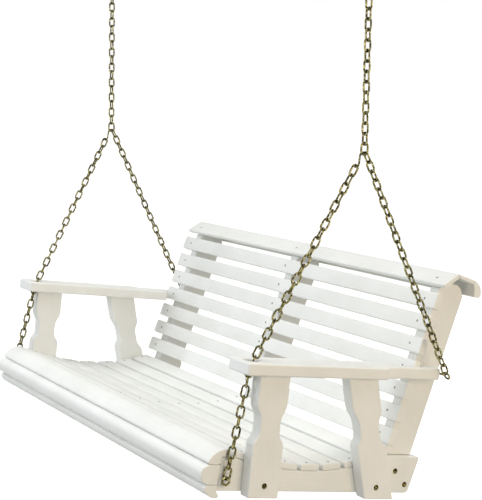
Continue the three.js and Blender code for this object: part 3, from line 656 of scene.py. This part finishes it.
def front_branch(way, word):
    """S-hook, chain through the armrest, and eyebolt through the side rail.

    The hook bears on the front of the junction link's lower bow. The ring is bent flat
    beside the rail, and the shank leaves its foot.
    """
    bow = bow_middle(word)
    hole = hung([way * ARM_HOLE[0], *ARM_HOLE[1:]])
    down = unit(hole - HANG_POINT - [bow[0], 0, 0])
    across = unit(-X_AXIS + down * down[0])
    front_way = np.array([0, -math.sin(BRANCH_SPREAD), -math.cos(BRANCH_SPREAD)])
    wires = (WIRE + FRONT_HOOK_WIRE) / 2
    crown = bow + front_way * (JUNCTION_BEND - wires - 2 * PLAY) * MM
    hook_middle = crown + down * FRONT_HOOK_REACH * MM
    path = hook_path(FRONT_HOOK_RADIUS, FRONT_HOOK_HALF, across, -down, hook_middle)
    metal(f"front_s_hook_{word}_wire", [tube(path, FRONT_HOOK_WIRE / 2 * MM, 12, False)],
          "bench", [f"front_s_hook_{word}"])

    eye = hung([way * FRONT_EYE[0], *FRONT_EYE[1:]])
    foot = eye - BENCH_UP * EYE_RADIUS * MM
    eyebolt(f"front_eyebolt_{word}", way, eye, (BENCH_BACK, BENCH_UP), foot, RAIL_INNER)
    start = hook_middle + down * (FRONT_HOOK_REACH - wires - PLAY) * MM
    links = chain_run([start, hole, eye + BENCH_UP * EYE_INSIDE * MM],
                      np.cross(down, X_AXIS), FRONT_CHAIN_TWIST)
    metal(f"front_chain_{word}_links", links, "bench", [f"front_chain_{word}"])


def rear_branch(way, word):
    """Chain straight to the eyebolt through the back upright.

    The first link bears on the back of the junction link's lower bow. The ring stands
    in the plane of X and the chain's pull, and the shank leaves its inner side.
    """
    bow = bow_middle(word)
    node = f"rear_eyebolt_{word}"
    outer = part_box(node)[1 if way > 0 else 0][0]
    eye = centre_of(node)
    eye[0] = outer - way * (EYE_RADIUS + EYE_WIRE / 2) * MM
    pull = unit(HANG_POINT - [0, eye[1], eye[2]])
    foot = eye - way * X_AXIS * EYE_RADIUS * MM
    eyebolt(node, way, eye, (X_AXIS, pull), foot, UPRIGHT_INNER)
    back_way = np.array([0, math.sin(BRANCH_SPREAD), -math.cos(BRANCH_SPREAD)])
    start = bow + back_way * (JUNCTION_BEND - WIRE - 2 * PLAY) * MM
    links = chain_run([start, eye + pull * EYE_INSIDE * MM], X_AXIS)
    metal(f"rear_chain_{word}_links", links, "bench", [f"rear_chain_{word}"])


for way, word in ((-1, "left"), (1, "right")):
    top_hook(word)
    drop_chain(word)
    junction_link(word)
    front_branch(way, word)
    rear_branch(way, word)

for word in ("left", "right", "center"):
    for number in (1, 2):
        carriage_bolt(f"upright_bolt_{number}_{word}")
        if word != "center":
            carriage_bolt(f"support_bolt_{number}_{word}")

for word in ("left", "right"):
    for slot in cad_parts[f"ceiling_plate_{word}"].material_slots:
        slot.material = BOLT_PLATING


# ------------------------------------------------------------------ floor and light
FLOOR_HEIGHT = -1.95                # clear of the feet of someone sitting
FLOOR_REACH = 400.0                 # so far that no edge shows
FLOOR_GLOW = 0.35                   # makes it about as pale as the backdrop
BACKDROP_LIGHT = 0.38               # what the backdrop gives; the camera sees it at 1
BENCH_MIDDLE = (0, 0, -1.1)
FAR_ARM = (-0.7, 0, -1.3)


def plain_floor():
    """A level sheet, pale and matt, under the swing."""
    corners = [(x * FLOOR_REACH, y * FLOOR_REACH, FLOOR_HEIGHT)
               for x, y in ((-1, -1), (1, -1), (1, 1), (-1, 1))]
    mesh = bpy.data.meshes.new("studio_floor")
    mesh.from_pydata(corners, [], [(0, 1, 2, 3)])
    material, _, shader = new_material("pale_studio_floor")
    shader.inputs["Base Color"].default_value = linear("#F6F6F4")
    shader.inputs["Roughness"].default_value = 1.0
    shader.inputs["Emission Color"].default_value = linear("#FFFFFF")
    shader.inputs["Emission Strength"].default_value = FLOOR_GLOW
    mesh.materials.append(material)
    floor = bpy.data.objects.new("studio_floor", mesh)
    bpy.context.scene.collection.objects.link(floor)
    floor.visible_diffuse = False   # its glow stays off the undersides


def soft_light(name, place, target, size, power, colour):
    """A square softbox at a place, facing the target; size in metres, power in watts."""
    lamp = bpy.data.lights.new(name, "AREA")
    lamp.shape = "SQUARE"
    lamp.size = size
    lamp.energy = power
    lamp.color = linear(colour)[:3]
    holder = bpy.data.objects.new(name, lamp)
    bpy.context.scene.collection.objects.link(holder)
    holder.location = place
    aim = Vector(target) - Vector(place)
    holder.rotation_euler = aim.to_track_quat("-Z", "Y").to_euler()


bpy.context.scene.view_settings.view_transform = "Standard"
plain_floor()
soft_light("key_softbox", (-2.4, -4.8, 0.6), BENCH_MIDDLE, 2.6, 92, "#F0F6FF")
soft_light("seat_softbox", (0.5, -1.7, 0.1), FAR_ARM, 0.8, 9.5, "#F4F8FF")
soft_light("side_softbox", (5.0, 0.6, -0.2), BENCH_MIDDLE, 2.4, 80, "#FFE4BE")
soft_light("rear_softbox", (-1.5, 4.8, 0.6), BENCH_MIDDLE, 2.6, 75, "#FFFFFF")

overhead = bpy.data.lights.new("overhead_light", "SUN")
overhead.energy = 1.4
overhead.angle = math.radians(60)   # broad, so that shadows stay soft
lamp_holder = bpy.data.objects.new("overhead_light", overhead)
bpy.context.scene.collection.objects.link(lamp_holder)

world = bpy.data.worlds.new("studio")
world.use_nodes = True
bpy.context.scene.world = world
backdrop = world.node_tree.nodes["Background"]
seen = add(world.node_tree, "ShaderNodeLightPath").outputs["Is Camera Ray"]
strength = add(world.node_tree, "ShaderNodeMapRange",
               {"To Min": BACKDROP_LIGHT, "To Max": 1.0}, {"Value": seen})
tint = ramp(add(world.node_tree, "ShaderNodeValToRGB", None, {"Fac": seen}),
            (0.0, linear("#FFFFFA")), (1.0, linear("#FFFFFF")))
world.node_tree.links.new(tint.outputs["Color"], backdrop.inputs["Color"])
world.node_tree.links.new(strength.outputs["Result"], backdrop.inputs["Strength"])


# ------------------------------------------------------------------ camera
CAMERA_PLACE = (3.2812, -1.9072, -0.4177)
CAMERA_AZIMUTH = 58.68              # turned from +Y towards -X, degrees
CAMERA_DIP = 7.37                   # looks down by this
CAMERA_ROLL = 1.04
SENSOR = 36.0
FOCAL_RATIO = 2.5496                # focal length over the sensor's width

lens = bpy.data.cameras.new("view")
lens.sensor_width = SENSOR
lens.lens = FOCAL_RATIO * SENSOR
camera = bpy.data.objects.new("view", lens)
camera.location = CAMERA_PLACE
turn = (Euler((0, 0, math.radians(CAMERA_AZIMUTH))).to_matrix()
        @ Euler((math.radians(90 - CAMERA_DIP), 0, 0)).to_matrix()
        @ Euler((0, 0, math.radians(CAMERA_ROLL))).to_matrix())
camera.rotation_euler = turn.to_euler()
bpy.context.scene.collection.objects.link(camera)
bpy.context.scene.camera = camera
